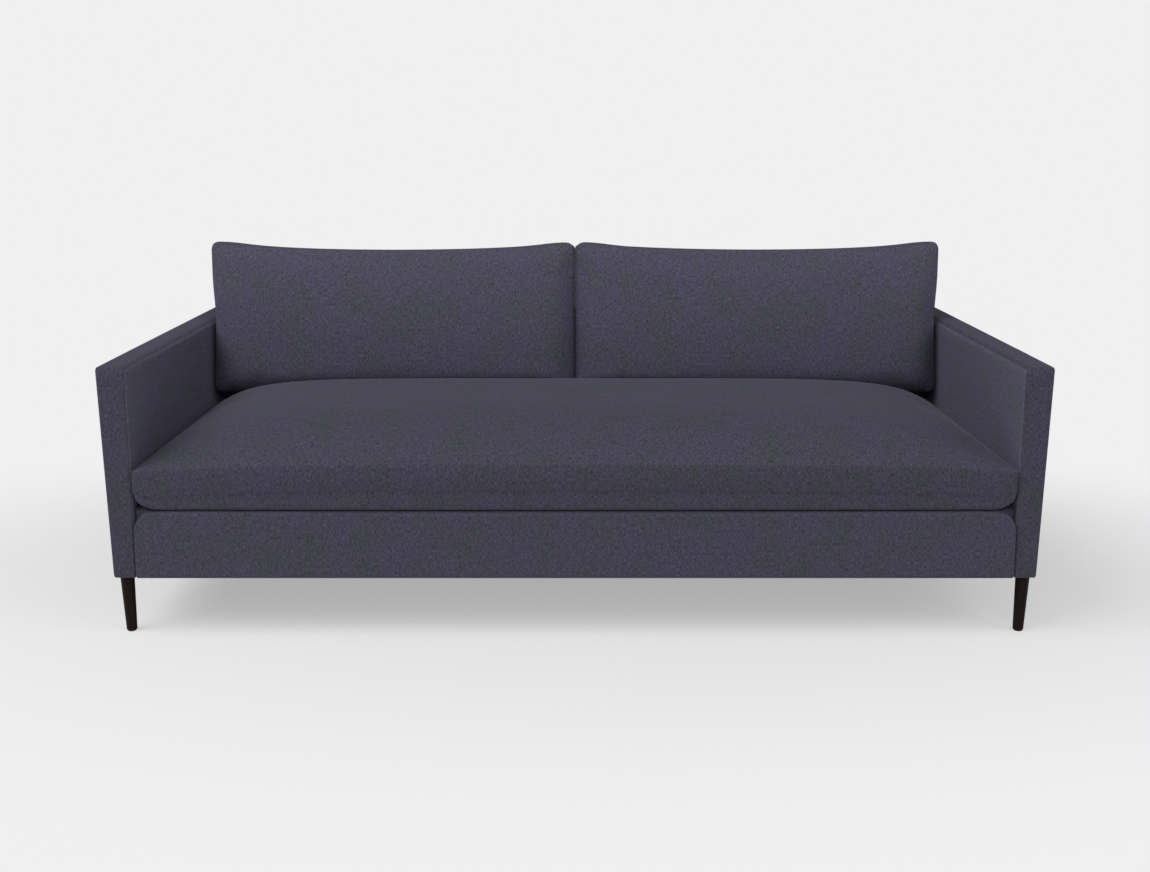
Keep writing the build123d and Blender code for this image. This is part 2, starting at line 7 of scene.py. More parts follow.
import bmesh
import bpy
import numpy as np
from bpy.props import FloatProperty, FloatVectorProperty, PointerProperty
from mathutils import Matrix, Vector


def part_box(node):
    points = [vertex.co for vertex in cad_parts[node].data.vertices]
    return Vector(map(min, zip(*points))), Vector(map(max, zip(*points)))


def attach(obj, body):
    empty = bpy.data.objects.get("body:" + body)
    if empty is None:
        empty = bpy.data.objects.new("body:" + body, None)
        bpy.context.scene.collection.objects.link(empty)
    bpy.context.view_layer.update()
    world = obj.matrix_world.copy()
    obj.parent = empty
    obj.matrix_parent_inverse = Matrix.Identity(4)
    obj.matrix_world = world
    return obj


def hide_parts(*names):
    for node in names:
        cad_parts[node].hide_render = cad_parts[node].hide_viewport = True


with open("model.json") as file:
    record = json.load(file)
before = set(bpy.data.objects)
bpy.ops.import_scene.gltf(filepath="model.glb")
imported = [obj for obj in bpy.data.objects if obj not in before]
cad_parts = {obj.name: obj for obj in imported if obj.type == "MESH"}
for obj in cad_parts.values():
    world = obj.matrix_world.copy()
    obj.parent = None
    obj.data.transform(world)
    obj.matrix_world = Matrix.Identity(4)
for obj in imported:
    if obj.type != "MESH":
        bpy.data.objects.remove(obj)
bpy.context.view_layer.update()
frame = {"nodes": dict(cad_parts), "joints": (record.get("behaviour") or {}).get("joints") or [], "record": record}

bl_info = {
    "name": "Sofa dressing",
    "version": (1, 0, 0),
    "blender": (4, 5, 0),
    "location": "3D View > Sidebar > Sofa",
    "description": "Builds a sofa's upholstery, cushions, finishes and studio around its packed frame",
    "category": "Object",
}

# Places read from the frame
arm_low, arm_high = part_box("right_arm_cover")
border_low, border_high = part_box("front_border_cover")
deck_low, deck_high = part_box("deck_cover")
pad_low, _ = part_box("deck_pad")
back_low, back_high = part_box("inside_back_cover")
outside_low, outside_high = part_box("outside_back_panel")
dust_low, dust_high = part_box("dust_cover")
seat_low, seat_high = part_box("seat_cushion_cover")
seat_zip_low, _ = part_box("seat_zip_chain")
back_zip_low, back_zip_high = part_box("right_back_zip_chain")
lift_axis = next(j["axis"] for j in frame["joints"] if j["name"] == "right_back_cushion_lift")
back_lean = math.atan2(lift_axis[1], lift_axis[2])
arm_base_thickness = arm_high.x - border_high.x
SIDES = (("left", -1), ("right", 1))  # each side's name and its way along X
ALONG_X, ALONG_Y = np.eye(3)[:2]

# Rows of a panel's grid, in metres: distances of the close rows from a panel's edge, and the steps between
SLAB_ROWS = (0.0, 0.0012, 0.003, 0.0055, 0.0085, 0.012, 0.02, 0.035)
SLAB_STEP = 0.022
WIDE_STEP = 0.03
SHEET_ROWS = (0.0, 0.0006, 0.0012, 0.006, 0.02)
CUSHION_ROWS = (0.0, 0.0022, 0.0055, 0.01, 0.016, 0.0245, 0.036, 0.05)
SEAT_STEP = 0.0165
BACK_STEP = 0.0135
CLOSE_SHARE = 0.45  # share of a panel, at each end, that may have close rows
PANEL_SHIFT = 2.37  # how far each panel's pattern lies from the last, so that no two panels repeat

# Arms, border, deck and back: metres, or shares where said
ARM_PADDING = 0.005  # padded arms are thicker than their covers' boxes by this
INNER_FADE = 0.05  # where the arms' inner rounding fades, before the back
INNER_FADE_SHARE = 0.85  # share of it that fades
FRONT_ROUNDING = 1.4  # arms' upright edges: rounding along Y over that along X
TOP_PUFF = 0.4  # swelling of the tops over that of the arms' faces
FLAT_PUFF = 0.0015  # swelling of the border's front and of the outside back
BORDER_ROUNDING = (0.2, 1.0, 0.75)  # shares of the border's radius along each axis
BORDER_CORNER_DEPTH = 2 / 3  # share of the border's depth with round top corners
BORDER_CORNER_FADE = 1 / 6  # share of it over which they then turn square
DECK_RADIUS = 0.006
DUST_RADIUS = 0.0004
OUTSIDE_RADIUS = 0.0009
BACK_ROUNDING = (0.3, 1.0, 1.0)  # shares of the edge radius along each axis
BACK_TUCK = 0.003  # the inside back's ends, into the arms

# Cushions: metres, or shares where said
CUSHION_SEAM_WIDTH = 0.0035
FILL_FRAMES = 20
DECK_CLEARANCE = 0.0003
ARM_CLEARANCE = 0.0005  # seat cushion to the arms at their fullest
BACKS_DEPTH = 0.2  # depth of the seat that the back cushions stand on
BACKS_FILL = 0.002  # most that the seat cushion swells there
SEAT_CLEARANCE = 0.0035  # back cushions above the seat cushion before it swells
BACK_CLEARANCE = 0.0006
CUSHION_ARM_CLEARANCE = 0.001
MIDDLE_CLEARANCE = 5e-5  # each back cushion to the middle, where the two press on each other
SETTLED = -0.4  # fullest line of a back cushion, from -1 at its bottom to 1 at its top
UPPER_DRAW_LOSS = 0.75  # share of the side draw lost above the arm
UPPER_DRAW_FADE = 0.6  # share of the half height over which it is lost
ZIP_PROUD = 0.0005  # a back cushion's zip, out of the fabric
ZIP_FADE = 0.03  # how far the fabric falls back beside it, and over what distance


def metres(name, description, default):
    """A size in metres that a user may change."""
    return FloatProperty(name=name, description=description, default=default, unit="LENGTH")


def number_property(name, description, default, **kind):
    """A number that a user may change, of a kind such as an angle, or else a plain one."""
    return FloatProperty(name=name, description=description, default=default, **kind)


def colour_property(name, description, default):
    """A linear colour that a user may change."""
    return FloatVectorProperty(
        name=name, description=description, default=default, subtype="COLOR", min=0.0, max=1.0
    )


class SofaUpholstery(bpy.types.PropertyGroup):
    """Sizes of the fixed upholstery."""

    edge_radius: metres("Edge radius", "Rounding of the padded edges", 0.0105)
    panel_radius: metres("Panel radius", "Rounding of the arms' upright edges", 0.0045)
    inner_radius: metres("Inner radius", "Rounding of the arms' tops towards the seat", 0.02)
    arm_puff: metres("Arm puff", "How far the arm's faces swell in their middle", 0.0022)
    seam_depth: metres("Seam depth", "How deep a sewn seam draws the fabric in", 0.0011)
    seam_width: metres("Seam width", "Reach of a seam's dent to each side", 0.0026)
    # Painted shade: the front tone makes the arms' front panels darker than the cloth.
    front_painted_shading: number_property("Front tone", "Brightness of the arms' front panels, by their nap", 0.92)
    # Painted shade: the top tone makes the arms' tops darker than the cloth.
    top_painted_shade: number_property("Top tone", "Brightness of the arms' tops, by their nap", 0.96)
    # Painted light: the inner tone makes the arms' inner faces lighter than the cloth.
    inner_painted_light: number_property("Inner tone", "Brightness of the arms' inner faces, by their nap", 1.66)
    border_radius: metres("Border radius", "Rounding of the front border's edges", 0.0135)
    border_gap: metres("Border gap", "Room between the border's ends and the arms", 0.001)
    border_corner_width: metres("Corner width", "Width of the border's top corners", 0.06)
    border_corner_height: metres("Corner height", "Height of the border's top corners", 0.046)
    deck_slack: metres("Deck slack", "How far the deck sinks in its middle", 0.004)
    dust_sag: metres("Dust cover sag", "How far the dust cover hangs in its middle", 0.007)


class SofaSeatCushion(bpy.types.PropertyGroup):
    """Sizes of the bench seat cushion."""

    seam_top: metres("Top seam", "Height of the top seam at the corners", 0.396)
    seam_bottom: metres("Bottom seam", "Height of the bottom seam near the corners", 0.328)
    seam_rise: metres("Seam rise", "How much higher the seams are in the middle", 0.019)
    crown: metres("Crown", "Rise of the top over its seam", 0.078)
    corner_lift: metres("Corner lift", "How far the bottom seam turns up at the corners", 0.014)
    belly_press: metres("Belly press", "How far the underside would sink into the deck", 0.0026)
    belly_reach: metres("Belly reach", "Depth of the underside's rounded front edge", 0.045)
    belly_ends: metres("Belly ends", "Width over which the underside rises to the corners", 0.06)
    belly_roll: metres("Belly roll", "How far the underside rolls out past its front seam", 0.011)
    corner: metres("Corner radius", "Rounding of the corners in plan", 0.01)
    bow: metres("Front bow", "How far the front bows out in its middle", 0.007)
    side_draw: metres("Side draw", "How far the sides draw in between the corners", 0.003)
    bulge: metres("Boxing bulge", "How far the boxing swells between its seams", 0.004)
    cap: metres("Swelling", "Most that a point may move while the cushion fills", 0.009)
    seam_depth: metres("Seam depth", "How deep a sewn seam draws the fabric in", 0.0019)
    # Painted shade: the boxing tone makes the seat cushion's boxing darker than its top.
    boxing_painted_shade: number_property("Boxing tone", "Brightness of the boxing, by its nap", 0.9)


class SofaBackCushion(bpy.types.PropertyGroup):
    """Sizes of the two back cushions."""

    height: metres("Height", "Bottom seam to top seam, up the leaning back", 0.4125)
    lift: metres("Lift", "Bottom of the cushion above the deck, up the leaning back", 0.12)
    boxing: metres("Boxing", "Width of the strip between front and rear panels", 0.124)
    crown: metres("Crown", "Rise of the front over its seam", 0.038)
    crown_reach: metres("Crown reach", "Width of the front's rounded sides", 0.1)
    corner: metres("Corner radius", "Rounding of the corners", 0.024)
    top_draw: metres("Top draw", "How far the top edge dips between the corners", 0.0145)
    corner_rise: metres("Corner rise", "How much higher the outer top corner is", 0.004)
    side_draw: metres("Side draw", "How far the outer side draws in beside the arm", 0.0064)
    side_gap: metres("Side gap", "Room beside the arm", 0.0025)
    middle_gap: metres("Middle gap", "Room between the two cushions", 0.003)
    bulge: metres("Boxing bulge", "How far the boxing swells between its seams", 0.004)
    arm_press: metres("Arm press", "Swelling of the outer boxing, were the arm not there", 0.007)
    # Painted light: the front tone makes the back cushions' front panels lighter than the cloth.
    front_painted_shading: number_property("Front tone", "Brightness of the front panels, by their nap", 1.3)
    press: metres("Press", "Swelling of the inner boxing, were the other not there", 0.016)
    cap: metres("Swelling", "Most that a point may move while the cushion fills", 0.009)
    seam_depth: metres("Seam depth", "How deep a sewn seam draws the fabric in", 0.0017)


class SofaFinish(bpy.types.PropertyGroup):
    """Colours of the finishes, linear."""

    fabric_grey: colour_property("Charcoal", "Greyer patches of the fabric", (0.0562, 0.0582, 0.0722))
    fabric_violet: colour_property("Indigo", "Bluer patches of the fabric", (0.065, 0.0568, 0.0958))
    leg_dark: colour_property("Leg dark", "Dark grain of the stained legs", (0.006, 0.0028, 0.0017))
    leg_light: colour_property("Leg light", "Light grain of the stained legs", (0.018, 0.009, 0.006))
    timber_dark: colour_property("Timber dark", "Dark grain of the frame", (0.36, 0.23, 0.12))
    timber_light: colour_property("Timber light", "Light grain of the frame", (0.58, 0.41, 0.24))


class SofaStudio(bpy.types.PropertyGroup):
    """The studio round the sofa."""

    backdrop: colour_property("Backdrop", "What the camera sees behind the sofa", (0.87, 0.87, 0.872))
    floor: colour_property("Floor", "Colour of the floor", (0.92, 0.92, 0.92))
    sky: number_property("Sky", "Strength of the even light from all round", 0.1)
    key_power: number_property("Key", "Light from the left", 486.0, unit="POWER")
    fill_power: number_property("Fill", "Light from the right", 200.0, unit="POWER")
    front_power: number_property("Front", "Light from the front", 206.0, unit="POWER")
    light_size: metres("Light size", "Width of each light", 7.0)
    light_distance: metres("Light distance", "Distance of each light", 9.0)
    camera_back: metres("Camera distance", "Camera in front of the arms", 2.749)
    camera_height: metres("Camera height", "Camera above the floor", 1.157)
    camera_tilt: number_property(
        "Camera tilt", "How far the camera looks down", math.radians(13.86), subtype="ANGLE"
    )
    camera_lens: number_property(
        "Lens", "Focal length on a 36 mm sensor", 39.45, subtype="DISTANCE_CAMERA"
    )


# Grids and meshes


def edge_rows(length, rows, step):
    """Distances along one side of a panel: close rows at both ends and even rows between them."""
    near = np.array([row for row in rows if row < CLOSE_SHARE * length])
    inner = length - 2 * near[-1]
    count = max(1, round(inner / step))
    middle = near[-1] + inner * np.arange(1, count) / count
    return np.concatenate([near, middle, length - near[::-1]])


def panel_mesh(name, panels, finish, painted_brightness=None):
    """One closed mesh from panels. Each panel is a grid of points, its pattern coordinates in metres and a
    weight that is 1 on a seam. Panels share the points of their edges, which are merged. The painted
    brightness gives each panel painted light and shade: its faces made lighter or darker for how light falls."""
    points, quads, patterns, weights, painted_face_brightness = [], [], [], [], []
    start = 0
    for index, (grid, pattern, weight) in enumerate(panels):
        rows, columns = grid.shape[:2]
        number = start + np.arange(rows * columns).reshape(rows, columns)
        corners = (number[:-1, :-1], number[1:, :-1], number[1:, 1:], number[:-1, 1:])
        quads.append(np.stack(corners, axis=-1).reshape(-1, 4))
        points.append(grid.reshape(-1, 3))
        patterns.append(pattern.reshape(-1, 2) + PANEL_SHIFT * np.array((index, index % 3)))
        weights.append(weight.reshape(-1))
        # Painted light and shade: every face of a panel gets that panel's brightness.
        painted_face_brightness.append(np.full(len(quads[-1]), painted_brightness[index] if painted_brightness else 1.0))
        start += rows * columns
    quads = np.concatenate(quads)
    mesh = bpy.data.meshes.new(name)
    mesh.from_pydata(np.concatenate(points), [], quads)
    nap = mesh.uv_layers.new(name="Nap")
    nap.data.foreach_set("uv", np.concatenate(patterns)[quads.ravel()].astype(np.float32).ravel())
    seam = mesh.attributes.new("seam", "FLOAT", "POINT")
    seam.data.foreach_set("value", np.concatenate(weights).astype(np.float32))
    # The face attribute named tone carries the painted light and shade to the finish.
    tone = mesh.attributes.new("tone", "FLOAT", "FACE")
    tone.data.foreach_set("value", np.concatenate(painted_face_brightness).astype(np.float32))
    work = bmesh.new()
    work.from_mesh(mesh)
    bmesh.ops.remove_doubles(work, verts=work.verts, dist=2e-5)
    bmesh.ops.recalc_face_normals(work, faces=work.faces)
    work.to_mesh(mesh)
    work.free()
    mesh.polygons.foreach_set("use_smooth", np.ones(len(mesh.polygons), dtype=bool))
    mesh.materials.append(finish)
    piece = bpy.data.objects.new(name, mesh)
    bpy.context.scene.collection.objects.link(piece)
    return piece


def slab_panels(low, high, radii, puff, shape=np.copy, seam=None, rows=SLAB_ROWS, step=SLAB_STEP):
    """Six panels of a padded slab. A point p on the box's face goes to c + radii * n, where c is p moved
    into the box shrunk by the radii along each axis, and n is (p - c) / radii at length 1. Puff maps
    (axis, side) to a swelling that is greatest in the face's middle and falls to its edges as a fourth
    power. Seam is (axis, side, depth, width) of the face whose edge is sewn: there a point lies deeper
    along n by depth * exp(-(distance / width)^2). Shape moves the points."""
    low, high = np.array(low), np.array(high)
    lines = [low[k] + edge_rows(high[k] - low[k], rows, step) for k in range(3)]
    pattern_axes = {0: (1, 2), 1: (0, 2), 2: (0, 1)}
    panels = []
    for axis in range(3):
        a, b = (axis + 1) % 3, (axis + 2) % 3
        across, along = np.meshgrid(lines[a], lines[b], indexing="ij")
        for side, face in enumerate((low, high)):
            p = np.empty(across.shape + (3,))
            p[..., a], p[..., b], p[..., axis] = across, along, face[axis]
            core = np.clip(p, low + radii, high - radii)
            out = (p - core) / radii
            out /= np.linalg.norm(out, axis=-1, keepdims=True)
            q = core + radii * out
            dent = np.zeros(across.shape)
            if seam:
                sewn_axis, sewn_side, depth, width = seam
                if (axis, side) == (sewn_axis, sewn_side):
                    room = np.minimum(p - low, high - p)
                    distance = np.minimum(room[..., a], room[..., b])
                else:
                    distance = np.abs(p[..., sewn_axis] - (low, high)[sewn_side][sewn_axis])
                dent = np.exp(-((distance / width) ** 2))
                q -= depth * dent[..., None] * out
            share = 2 * (p - low) / (high - low) - 1
            fullness = (1 - share[..., a] ** 4) * (1 - share[..., b] ** 4)
            q[..., axis] += (2 * side - 1) * puff.get((axis, side), 0.0) * fullness
            panels.append((shape(q), p[..., list(pattern_axes[axis])], dent))
    return panels


def ease(share):
    """Rises from 0 to 1 as t^2 (3 - 2 t), level at both ends, with t the share kept between 0 and 1."""
    t = np.clip(share, 0, 1)
    return t**2 * (3 - 2 * t)


def round_corners(x, y, half_x, half_y, corner_x, corner_y, only_high=False):
    """Rounds a rectangle's corners: in each corner's box, (a, b) goes to a * sqrt(1 - b^2 / 2) and
    b * sqrt(1 - a^2 / 2), which turns the box's outer sides into a quarter of an ellipse."""
    core_x = np.clip(x, corner_x - half_x, half_x - corner_x)
    core_y = np.clip(y, -half_y if only_high else corner_y - half_y, half_y - corner_y)
    a, b = (x - core_x) / corner_x, (y - core_y) / corner_y
    return (
        core_x + corner_x * a * np.sqrt(1 - b**2 / 2),
        core_y + corner_y * b * np.sqrt(1 - a**2 / 2),
    )


def surface_run(grid):
    """Distance over a grid's surface along its second direction, from its middle column."""
    steps = np.linalg.norm(np.diff(grid, axis=1), axis=-1)
    run = np.concatenate([np.zeros((len(grid), 1)), np.cumsum(steps, axis=1)], axis=1)
    return run - run[:, run.shape[1] // 2, None]


def cushion_panels(face, half_u, half_v, height, step, bulges):
    """Rear, front and boxing panels of a cushion. Face(x, y, level) gives the points of the rear panel at
    level 0 and of the front panel at level 1. The boxing joins their edges in straight lines, swollen
    outwards by its side's bulge * sin(pi w) along (x^9, y^9), less towards the corners as a sixth power.
    Bulges are for the low and high side along y, then along x."""
    x = edge_rows(2 * half_u, CUSHION_ROWS, step) - half_u
    y = edge_rows(2 * half_v, CUSHION_ROWS, step) - half_v
    w = edge_rows(height, CUSHION_ROWS[:5], step) / height
    across, along = np.meshgrid(x, y, indexing="ij")
    room = np.minimum(half_u - np.abs(across), half_v - np.abs(along))
    near_seam = np.exp(-((room / CUSHION_SEAM_WIDTH) ** 2))
    panels = []
    for level in (0.0, 1.0):
        grid = face(across, along, level)
        panels.append((grid, np.stack([across, surface_run(grid)], axis=-1), near_seam))
    boxing_seam = np.exp(-((np.minimum(w, 1 - w) * height / CUSHION_SEAM_WIDTH) ** 2))
    probe = 0.01
    origin, toward_x, toward_y = (
        face(np.array(px), np.array(py), 0.5) for px, py in ((0.0, 0.0), (probe, 0.0), (0.0, probe))
    )
    basis = np.stack([toward_x - origin, toward_y - origin])
    basis /= np.linalg.norm(basis, axis=-1, keepdims=True)
    sides = (
        (x, np.full_like(x, -half_v), x, half_u),
        (x, np.full_like(x, half_v), x, half_u),
        (np.full_like(y, -half_u), y, y, half_v),
        (np.full_like(y, half_u), y, y, half_v),
    )
    for bulge, (side_x, side_y, run, half_run) in zip(bulges, sides):
        rear, front = face(side_x, side_y, 0.0), face(side_x, side_y, 1.0)
        flat = np.stack([(side_x / half_u) ** 9, (side_y / half_v) ** 9], axis=-1)
        flat /= np.linalg.norm(flat, axis=-1, keepdims=True)
        swell = bulge * np.sin(np.pi * w)[None, :, None] * (1 - (run / half_run) ** 6)[:, None, None]
        grid = rear[:, None] * (1 - w)[None, :, None] + front[:, None] * w[None, :, None]
        grid = grid + swell * (flat @ basis)[:, None]
        run_grid, w_grid = np.meshgrid(run, w * height, indexing="ij")
        weight = np.broadcast_to(boxing_seam, run_grid.shape)
        panels.append((grid, np.stack([run_grid, w_grid], axis=-1), weight))
    return panels


def mesh_points(mesh, values="co"):
    """The mesh's points, or its normals, as one array."""
    source = mesh.vertices if values == "co" else mesh.vertex_normals
    points = np.empty(3 * len(mesh.vertices), dtype=np.float32)
    source.foreach_get("co" if values == "co" else "vector", points)
    return points.reshape(-1, 3).astype(float)


def set_points(mesh, points):
    """Writes the mesh's points back."""
    mesh.vertices.foreach_set("co", points.astype(np.float32).ravel())
    mesh.update()


def fill_cushion(piece, cap, *axes):
    """Fills a cushion by a cloth simulation with inner pressure and no gravity, with each point's movement
    held under the cap, and keeps the result as its mesh. Along each of the axes the filled cushion is then
    stretched back to the length it was cut to."""
    before = mesh_points(piece.data)
    cloth = piece.modifiers.new("Fill", "CLOTH")
    cloth.settings.quality = 6
    cloth.settings.mass = 0.25
    cloth.settings.tension_stiffness = 20
    cloth.settings.compression_stiffness = 20
    cloth.settings.bending_stiffness = 1.5
    cloth.settings.use_pressure = True
    cloth.settings.uniform_pressure_force = 4.0
    cloth.settings.effector_weights.gravity = 0.0
    cloth.collision_settings.use_collision = False
    cloth.point_cache.frame_start = 1
    cloth.point_cache.frame_end = FILL_FRAMES
    for number in range(1, FILL_FRAMES + 1):
        bpy.context.scene.frame_set(number)
    filled = piece.evaluated_get(bpy.context.evaluated_depsgraph_get())
    moved = mesh_points(filled.data) - before
    distance = np.linalg.norm(moved, axis=1, keepdims=True)
    piece.modifiers.remove(cloth)
    bpy.context.scene.frame_set(1)
    after = before + moved * np.minimum(1.0, cap / np.maximum(distance, 1e-9))
    for axis in axes:
        cut, now = before @ axis, after @ axis
        stretched = cut.min() + (now - now.min()) * np.ptp(cut) / np.ptp(now)
        after = after + (stretched - now)[:, None] * axis
    set_points(piece.data, after)


def sew_seams(piece, depth):
    """Draws the fabric in along the seams, by depth times the seam weight, against the normal."""
    weight = np.empty(len(piece.data.vertices), dtype=np.float32)
    piece.data.attributes["seam"].data.foreach_get("value", weight)
    points = mesh_points(piece.data)
    set_points(piece.data, points - depth * weight[:, None] * mesh_points(piece.data, "normal"))


def smooth_piece(piece):
    """One level of subdivision, the same in the view and in a render."""
    finer = piece.modifiers.new("Smooth", "SUBSURF")
    finer.levels = 1
    finer.render_levels = 1


def place(piece, body, slot, *nodes):
    """Puts a piece on its body and hides the frame's nodes it stands for. The slot is not used."""
    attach(piece, body)
    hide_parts(*nodes)


# Shapes shared by several pieces


def room_between_arms(z):
    """Half the room between the padded arms at height z: their inner faces lean in upwards, straight."""
    share = (z - arm_low.z) / (arm_high.z - arm_low.z)
    top_thickness = arm_high.x - arm_low.x
    thickness = arm_base_thickness + (top_thickness - arm_base_thickness) * share
    return arm_high.x - thickness - ARM_PADDING


def inside_back(z):
    """Y of the leaning inside back at height z."""
    return back_low.y + (z - back_low.z) * math.tan(back_lean)


def seat_top_height(x, y, sizes):
    """Height of the seat cushion's top before it is filled. With u and v from -1 to 1 across and along it,
    the seam stands at its corner height plus seam_rise * (1 - u^4), and the crown adds
    crown * (1 - u^10) * (1 - v^4)."""
    u = np.clip(x / seat_high.x, -1, 1)
    v = np.clip((y - seat_middle(sizes)) / seat_half_depth(sizes), -1, 1)
    return sizes.seam_top + sizes.seam_rise * (1 - u**4) + sizes.crown * (1 - u**10) * (1 - v**4)


def seat_half_depth(sizes):
    """Half the seat cushion's depth at its corners, which lie behind the bowed and swollen front."""
    return (seat_high.y - seat_low.y - sizes.bow - sizes.bulge) / 2


def seat_middle(sizes):
    """Y of the seat cushion's middle, between its corners."""
    return seat_high.y - seat_half_depth(sizes)


# Finishes


class Finish:
    """A material under construction: its nodes, wired by name."""

    def __init__(self, name):
        self.material = bpy.data.materials.new(name)
        self.material.use_nodes = True
        self.tree = self.material.node_tree
        self.shader = self.tree.nodes["Principled BSDF"]

    def node(self, kind, **settings):
        """Adds a node, with its settings."""
        made = self.tree.nodes.new(kind)
        for key, value in settings.items():
            setattr(made, key, value)
        return made

    def join(self, output, target):
        """Wires an output to an input."""
        self.tree.links.new(output, target)

    def stretched(self, source, scale):
        """Coordinates scaled along each axis."""
        mapping = self.node("ShaderNodeMapping")
        mapping.inputs["Scale"].default_value = scale
        self.join(source, mapping.inputs["Vector"])
        return mapping.outputs["Vector"]

    def noise(self, vector, scale, detail=2.0, roughness=0.5):
        """A noise value at those coordinates."""
        made = self.node("ShaderNodeTexNoise")
        made.inputs["Scale"].default_value = scale
        made.inputs["Detail"].default_value = detail
        made.inputs["Roughness"].default_value = roughness
        self.join(vector, made.inputs["Vector"])
        return made.outputs["Fac"]

    def ramp(self, value, *stops):
        """A colour ramp over the value, from (place, colour) stops."""
        made = self.node("ShaderNodeValToRGB")
        elements = made.color_ramp.elements
        while len(elements) < len(stops):
            elements.new(0.5)
        for element, (position, colour) in zip(elements, stops):
            element.position = position
            element.color = (*colour, 1.0)
        self.join(value, made.inputs["Fac"])
        return made.outputs["Color"]

    def multiplied(self, first, second):
        """Two colours multiplied."""
        made = self.node("ShaderNodeMix", data_type="RGBA", blend_type="MULTIPLY")
        made.inputs["Factor"].default_value = 1.0
        self.join(first, made.inputs["A"])
        self.join(second, made.inputs["B"])
        return made.outputs["Result"]

    def bump(self, height, strength, distance):
        """Bumps the surface by a height value."""
        made = self.node("ShaderNodeBump")
        made.inputs["Strength"].default_value = strength
        made.inputs["Distance"].default_value = distance
        self.join(height, made.inputs["Height"])
        self.join(made.outputs["Normal"], self.shader.inputs["Normal"])

    def set(self, **values):
        """Sets the shader's own sockets. An underscore in a name stands for a space."""
        for key, value in values.items():
            self.shader.inputs[key.replace("_", " ")].default_value = value


def grey(value):
    """A grey as a colour."""
    return (value, value, value)


def greys(dark, light):
    """A dark and a light grey."""
    return grey(dark), grey(light)


def fabric_finish(colours):
    """Brushed chenille: soft indigo and charcoal patches, short fibres along the nap, and a low sheen."""
    finish = Finish("brushed_chenille")
    nap = finish.node("ShaderNodeUVMap", uv_map="Nap").outputs["UV"]
    patches = finish.noise(finish.stretched(nap, (1.0, 0.6, 1.0)), scale=13.0, detail=6.0, roughness=0.7)
    greys, violets = tuple(colours.fabric_grey), tuple(colours.fabric_violet)
    cloth = finish.ramp(patches, (0.38, greys), (0.62, violets))
    fibres = finish.noise(finish.stretched(nap, (400.0, 130.0, 1.0)), scale=1.0, roughness=0.7)
    mottle = finish.noise(finish.stretched(nap, (130.0, 40.0, 1.0)), scale=1.0, roughness=0.6)
    for layer, depth in ((fibres, 0.58), (mottle, 0.14)):
        shade = finish.ramp(layer, (0.28, grey(1 - depth)), (0.72, grey(1 + depth)))
        cloth = finish.multiplied(cloth, shade)
    # The base colour is multiplied by each face's painted light and shade, read from its tone attribute.
    tone = finish.node("ShaderNodeAttribute", attribute_name="tone").outputs["Color"]
    finish.join(finish.multiplied(cloth, tone), finish.shader.inputs["Base Color"])
    finish.bump(fibres, strength=0.35, distance=0.0012)
    finish.set(Roughness=0.92, Specular_IOR_Level=0.2, Sheen_Weight=0.12, Sheen_Roughness=0.45)
    finish.set(Sheen_Tint=(0.8, 0.8, 1.0, 1.0))
    return finish.material


def wood_finish(name, colours, ring_scale, roughness, gloss):
    """Wood with its grain along Z: a dark and a light colour over drawn-out noise, with fine pores."""
    finish = Finish(name)
    place_in_wood = finish.node("ShaderNodeTexCoord").outputs["Object"]
    rings = finish.stretched(place_in_wood, (ring_scale, ring_scale, 2.5))
    grain = finish.noise(rings, scale=1.0, detail=5.0, roughness=0.6)
    pores = finish.noise(finish.stretched(place_in_wood, (900.0, 900.0, 22.0)), scale=1.0)
    base = finish.ramp(grain, *zip((0.35, 0.68), colours))
    base = finish.multiplied(base, finish.ramp(pores, (0.3, grey(0.7)), (0.6, grey(1.1))))
    finish.join(base, finish.shader.inputs["Base Color"])
    finish.bump(pores, strength=0.2, distance=0.0003)
    finish.set(Roughness=roughness, Specular_IOR_Level=gloss)
    return finish.material


def plain_finish(name, colours, roughness, scale=1.0, stretch=(1.0, 1.0, 1.0), metallic=0.0):
    """A finish for a hidden or small part: a dark and a light colour over noise, with a fine relief."""
    finish = Finish(name)
    place_in_part = finish.node("ShaderNodeTexCoord").outputs["Object"]
    tone = finish.noise(finish.stretched(place_in_part, stretch), scale, detail=4.0, roughness=0.6)
    base = finish.ramp(tone, *zip((0.32, 0.7), colours))
    finish.join(base, finish.shader.inputs["Base Color"])
    finish.bump(tone, strength=0.4, distance=0.0004)
    finish.set(Roughness=roughness, Metallic=metallic)
    return finish.material


def shared_fabric():
    """The upholstery's finish, made once."""
    return bpy.data.materials.get("brushed_chenille") or fabric_finish(bpy.context.scene.sofa_finish)


# Operators


